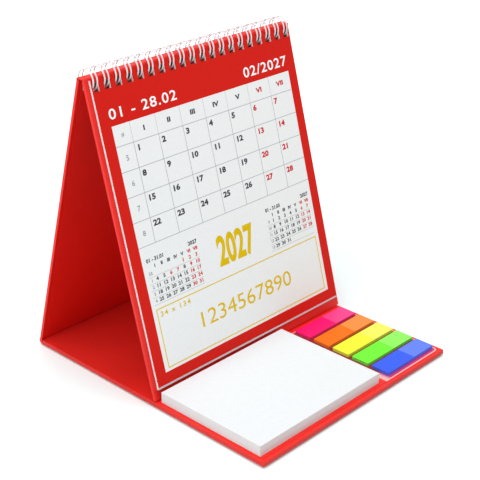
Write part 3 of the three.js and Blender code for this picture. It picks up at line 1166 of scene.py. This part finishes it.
def print_gold(page, settings):
    x0, x1, v0, v1 = GOLD_FIELD
    width = settings.gold_line / MM
    for v in (v0, v1):
        page.across(x0 - width / 2, x1 + width / 2, v, width, "pale_gold")
    for x in (x0, x1):
        page.upright(x, v0 + width / 2, v1 - width / 2, width, "pale_gold")
    page.words(str(YEAR), GOLD_MIDDLE, GOLD_YEAR_FOOT, "gold", "gold_year")
    page.words("34 x 134", x0 + GOLD_SIZE_INSET, GOLD_SIZE_FOOT, "gold", "gold_size")
    page.words("1234567890", GOLD_MIDDLE, GOLD_LINE_FOOT, "gold", "gold_line")


def printed_plane(name):
    """The plane of a leaf's printed side. January is turned over, so its print looks inward."""
    return face_plane(f"leaf_{name}", BACK_IN if name == "january" else FRONT_OUT)


def print_page(name, month, layer, inks, settings):
    page = Page(inks, layer)
    page.field(*WHITE_AREA, "white", GROUND)
    low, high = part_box(f"leaf_{name}")
    # The grey strip along the lower edge is painted shade
    page.field(low.x / MM, high.x / MM, 0, SHADED_EDGE_HEIGHT, "edge")
    print_title(page, month)
    print_table(page, settings, month)
    for side, left in SMALL_LEFT.items():
        print_small_month(page, settings, *month_beside(month, side), left)
    print_gold(page, settings)
    hand_over(page.lay(f"{name}_print", printed_plane(name)), name, "leaf_paper")


class CAL_OT_leaves(bpy.types.Operator):
    """Give the twelve leaves their paper: red ground on the printed side, white behind"""

    bl_idname = "calendar.leaves"
    bl_label = "Leaves"

    def execute(self, context):
        settings = context.scene.cal_page
        for name in MONTHS:
            plane = printed_plane(name)
            face_and_top = plane.col[2].xyz + plane.col[1].xyz
            # The cut edges take the title white, brighter than the blank paper: painted light
            dress(frame["nodes"][f"leaf_{name}"], leaf_paper(
                f"{name}_paper", face_and_top, settings.red, settings.white, settings.title))
        return {"FINISHED"}


class CAL_OT_pages(bpy.types.Operator):
    """Print every leaf with its table, its two small months and its gold field"""

    bl_idname = "calendar.pages"
    bl_label = "Printed pages"

    def execute(self, context):
        settings = context.scene.cal_page
        inks = {
            "white": plain_paper("page_white", settings.white, 0.6),
            "title": ink("title_white", settings.title),
            "dark": ink("dark_ink", settings.dark),
            "grey": ink("grey_ink", settings.grey),
            "rule": ink("rule_ink", settings.rule),
            "pale_rule": ink("pale_rule_ink", shade(settings.rule, PALE_RULE)),
            "day_red": ink("red_ink", settings.day_red),
            "gold": ink("gold_ink", settings.gold),
            "pale_gold": ink("pale_gold_ink", paler(settings.gold, PALE_GOLD)),
            "edge": ink("page_edge", settings.edge),
        }
        for number, name in enumerate(MONTHS, 1):
            layers = settings.shown_layers if name == "february" else 1
            print_page(name, number, settings.ink_space * layers, inks, settings)
        return {"FINISHED"}


# The note block

BUNDLE_SEED = 5


class CAL_OT_note_block(bpy.types.Operator):
    """Stack the note block from bundles of sheets, with its loose top sheet"""

    bl_idname = "calendar.note_block"
    bl_label = "Note block"

    def execute(self, context):
        settings = context.scene.cal_note
        low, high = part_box("note_block")
        layers = round((high.z - low.z) / settings.bundle)
        step = (high.z - low.z) / layers
        seam = step * settings.seam
        shift = settings.bundle_shift
        draw = random.Random(BUNDLE_SEED)
        bundles = []
        for i in range(layers):
            outer = i in (0, layers - 1)
            dx, dy = (0, 0) if outer else (draw.uniform(-shift, shift), draw.uniform(-shift, shift))
            inset = 0 if outer else shift
            bundles.append(add_block(
                "bundle",
                (low.x + inset + dx, low.y + inset + dy, low.z + i * step),
                (high.x - inset + dx, high.y - inset + dy, low.z + (i + 1) * step - seam)))
        obj = join("note_sheets", bundles)
        dress(obj, stacked_paper("note_paper", settings.side, low.z, step))
        hand_over(obj, "base", "note_paper", "note_block")
        dress(frame["nodes"]["note_top_sheet"], plain_paper("note_top_paper", settings.white, 0.8))
        return {"FINISHED"}


# The page flags

# Height of the core of a flag block as a share of the gap that it fills
CORE_SHARE = 1.5


def rounded_block(name, low, high, radius):
    """A box with its edges rounded by the radius."""
    obj = add_block(name, low, high)
    bevel = obj.modifiers.new("round", "BEVEL")
    bevel.width = radius
    bevel.segments = 3
    apply_modifiers(obj)
    harden(obj)
    return obj


def flag_halves(node, settings):
    """The lower and the upper half of a flag block, and the core that shows as a line of painted shade
    between.
    """
    low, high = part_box(node)
    middle = (low.z + high.z) / 2
    half_gap, depth = settings.flag_groove / 2, settings.flag_depth
    half_core = CORE_SHARE * half_gap
    return [
        rounded_block("half", low, (high.x, high.y, middle - half_gap), settings.flag_round),
        rounded_block("half", (low.x, low.y, middle + half_gap), high, settings.flag_round),
        add_block(
            "core", (low.x + depth, low.y + depth, middle - half_core),
            (high.x - depth, high.y - depth, middle + half_core)),
    ]


class CAL_OT_flags(bpy.types.Operator):
    """Make the five blocks of page flags, each in two halves with its loose top flag"""

    bl_idname = "calendar.flags"
    bl_label = "Page flags"

    def execute(self, context):
        settings = context.scene.cal_note
        for name in FLAGS:
            base = getattr(settings, name)
            film = fluorescent_film(
                f"{name}_film", base, settings.flag_split, settings.end_lift, settings.side_lift)
            # The core takes a darker copy of the flag's colour: painted shade in the groove
            line = plain_paper(f"{name}_line", shade(base, settings.line_depth))
            pieces = flag_halves(f"flag_block_{name}", settings)
            for piece, material in zip(pieces, (film, film, line)):
                dress(piece, material)
            obj = join(f"{name}_flags", pieces)
            hand_over(obj, "base", f"flag_{name}", f"flag_block_{name}")
            dress(frame["nodes"][f"flag_top_{name}"], film)
        return {"FINISHED"}


# The slots of the film's materials after the rim's, which is the first
SHEET, FRONT = 1, 2


class CAL_OT_film(bpy.types.Operator):
    """Lay the clear film with its pale rim under the page flags"""

    bl_idname = "calendar.film"
    bl_label = "Backing film"

    def execute(self, context):
        settings = context.scene.cal_note
        low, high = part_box("flag_backing")
        flag_low, flag_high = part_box("flag_block_blue")
        beside = (flag_low + flag_high) / 2
        obj = add_block("backing_film", low, high)
        # The third material paints the last flag's shade and reflection on the film in front of it
        dress(
            obj, clear_film("film_rim", settings.film, alpha=0.8, roughness=0.3),
            clear_film("film_sheet", settings.film, alpha=0.06, roughness=0.12),
            film_front(
                "film_front", settings.film_end[:], settings.film_deep[:], settings.film_shine[:],
                flag_low, flag_low.y - low.y, settings.film_fade))

        def outer_corner(edge):
            first, second = (v.co for v in edge.verts)
            return min(first.x, second.x) > high.x - NEAR and abs(first.z - second.z) > NEAR

        def before_last_flag(face):
            middle = face.calc_center_median()
            in_front = middle.y < flag_low.y
            at_near_end = middle.x < flag_low.x and middle.y < beside.y
            return face.material_index == SHEET and face.normal.z > LEVEL and (in_front or at_near_end)

        with editing(obj):
            pick(obj, "edges", outer_corner)
            bpy.ops.mesh.bevel(offset=settings.film_corner, segments=8, affect="EDGES", clamp_overlap=False)
            pick(obj, "faces", lambda face: face.normal.z > LEVEL)
            bpy.ops.mesh.inset(thickness=settings.film_rim)
            obj.active_material_index = SHEET
            bpy.ops.object.material_slot_assign()
            for place, normal in ((flag_low, (0, 1, 0)), (flag_low, (1, 0, 0)), (beside, (0, 1, 0))):
                bpy.ops.mesh.select_all(action="SELECT")
                bpy.ops.mesh.bisect(plane_co=place, plane_no=normal)
            # The film before the last flag takes that flag's painted shade and reflection
            pick(obj, "faces", before_last_flag)
            obj.active_material_index = FRONT
            bpy.ops.object.material_slot_assign()
        hand_over(obj, "base", "clear_film", "flag_backing")
        return {"FINISHED"}


# The stage

# Where each lamp hangs, what it aims at and how wide it is, in metres
KEY_LAMP = ((-0.2, -0.12, 1.3), (0, 0, 0.05), 1.4)
SIDE_LAMP = ((-1.1, 0.1, 0.5), (0, 0, 0.08), 0.7)
FLOOR_SIZE = 6
SENSOR_MM = 36
CLIP_START = 0.01


def add_lamp(name, place, aim, size, watts):
    bpy.ops.object.select_all(action="DESELECT")
    bpy.ops.object.light_add(type="AREA", location=place)
    lamp = bpy.context.object
    lamp.name = name
    lamp.rotation_euler = (Vector(place) - Vector(aim)).to_track_quat("Z", "Y").to_euler()
    lamp.data.shape = "DISK"
    lamp.data.size = size
    lamp.data.energy = watts


def seen_rays(nodes, links):
    """1 for the rays that show a thing, also in a mirror or through film, and 0 for those that
    light."""
    path = nodes.new("ShaderNodeLightPath")
    rays = path.outputs["Is Camera Ray"]
    for other in ("Is Glossy Ray", "Is Transmission Ray"):
        either = nodes.new("ShaderNodeMath")
        either.operation = "MAXIMUM"
        links.new(rays, either.inputs[0])
        links.new(path.outputs[other], either.inputs[1])
        rays = either.outputs["Value"]
    return rays


def add_room(scene, ambient):
    """The room's even light, which is white where it is seen."""
    world = bpy.data.worlds.new("room")
    scene.world = world
    world.use_nodes = True
    nodes, links = world.node_tree.nodes, world.node_tree.links
    background = nodes["Background"]
    background.inputs["Color"].default_value = (1, 1, 1, 1)
    strength = nodes.new("ShaderNodeMapRange")
    strength.inputs["To Min"].default_value = ambient
    strength.inputs["To Max"].default_value = 1
    links.new(seen_rays(nodes, links), strength.inputs["Value"])
    links.new(strength.outputs["Result"], background.inputs["Strength"])


def add_floor(settings):
    """The pale floor, which rises to white away from the object where it is seen."""
    bpy.ops.object.select_all(action="DESELECT")
    bpy.ops.mesh.primitive_plane_add(size=FLOOR_SIZE, location=(0, 0, -settings.floor_gap))
    floor = bpy.context.object
    floor.name = "floor"
    settle(floor)
    recipe = Recipe("floor_paint", settings.floor, 0.9)
    span = recipe.node("ShaderNodeVectorMath", operation="LENGTH")
    recipe.link(recipe.place, span.inputs[0])
    away = recipe.between(span.outputs["Value"], settings.floor_near, settings.floor_far, 0, 1)
    far = recipe.mix(recipe.mottle(2), shade(settings.floor, 0.995), settings.floor[:])
    recipe.paint(recipe.mix(away, settings.floor_shade[:], far))
    recipe.gloss(0)
    recipe.shader.inputs["Emission Color"].default_value = (1, 1, 1, 1)
    seen = seen_rays(recipe.tree.nodes, recipe.tree.links)
    lift = recipe.between(away, 0, 1, settings.lift, settings.far_lift)
    recipe.link(recipe.math("MULTIPLY", seen, lift), recipe.shader.inputs["Emission Strength"])
    dress(floor, recipe.material)


def add_camera(scene, settings):
    """The camera at the photograph's height and side."""
    bpy.ops.object.camera_add(location=(settings.camera_x, settings.camera_y, settings.camera_z))
    camera = bpy.context.object
    camera.name = "camera"
    azimuth, elevation = settings.azimuth, settings.elevation
    backward = Vector((
        math.sin(azimuth) * math.cos(elevation),
        -math.cos(azimuth) * math.cos(elevation),
        math.sin(elevation)))
    camera.rotation_euler = backward.to_track_quat("Z", "Y").to_euler()
    camera.data.sensor_width = SENSOR_MM
    camera.data.lens = settings.lens
    camera.data.clip_start = CLIP_START
    scene.camera = camera


class CAL_OT_stage(bpy.types.Operator):
    """Set the camera, the pale floor and the soft light"""

    bl_idname = "calendar.stage"
    bl_label = "Stage"

    def execute(self, context):
        settings = context.scene.cal_stage
        add_floor(settings)
        add_camera(context.scene, settings)
        add_room(context.scene, settings.ambient)
        add_lamp("key_lamp", *KEY_LAMP, settings.key)
        add_lamp("side_lamp", *SIDE_LAMP, settings.side)
        context.scene.view_settings.view_transform = "Standard"
        return {"FINISHED"}


OPERATORS = [
    CAL_OT_stage,
    CAL_OT_covers,
    CAL_OT_boards,
    CAL_OT_folds,
    CAL_OT_wire,
    CAL_OT_leaves,
    CAL_OT_pages,
    CAL_OT_note_block,
    CAL_OT_flags,
    CAL_OT_film,
]


class CAL_PT_panel(bpy.types.Panel):
    """Lists the pieces of the desk calendar in the order in which they are made"""

    bl_idname = "CAL_PT_panel"
    bl_label = "Desk calendar"
    bl_space_type = "VIEW_3D"
    bl_region_type = "UI"
    bl_category = "Desk calendar"

    def draw(self, context):
        for operator in OPERATORS:
            self.layout.operator(operator.bl_idname)
        for name in SETTINGS:
            group = getattr(context.scene, name)
            box = self.layout.box()
            for key in type(group).__annotations__:
                box.prop(group, key)


def register():
    for settings in SETTINGS.values():
        bpy.utils.register_class(settings)
    for name, settings in SETTINGS.items():
        setattr(bpy.types.Scene, name, bpy.props.PointerProperty(type=settings))
    for operator in OPERATORS:
        bpy.utils.register_class(operator)
    bpy.utils.register_class(CAL_PT_panel)


def unregister():
    bpy.utils.unregister_class(CAL_PT_panel)
    for operator in reversed(OPERATORS):
        bpy.utils.unregister_class(operator)
    for name in SETTINGS:
        delattr(bpy.types.Scene, name)
    for settings in reversed(list(SETTINGS.values())):
        bpy.utils.unregister_class(settings)


def main():
    register()
    for operator in OPERATORS:
        group, name = operator.bl_idname.split(".")
        getattr(getattr(bpy.ops, group), name)()


if __name__ == "__main__":
    main()
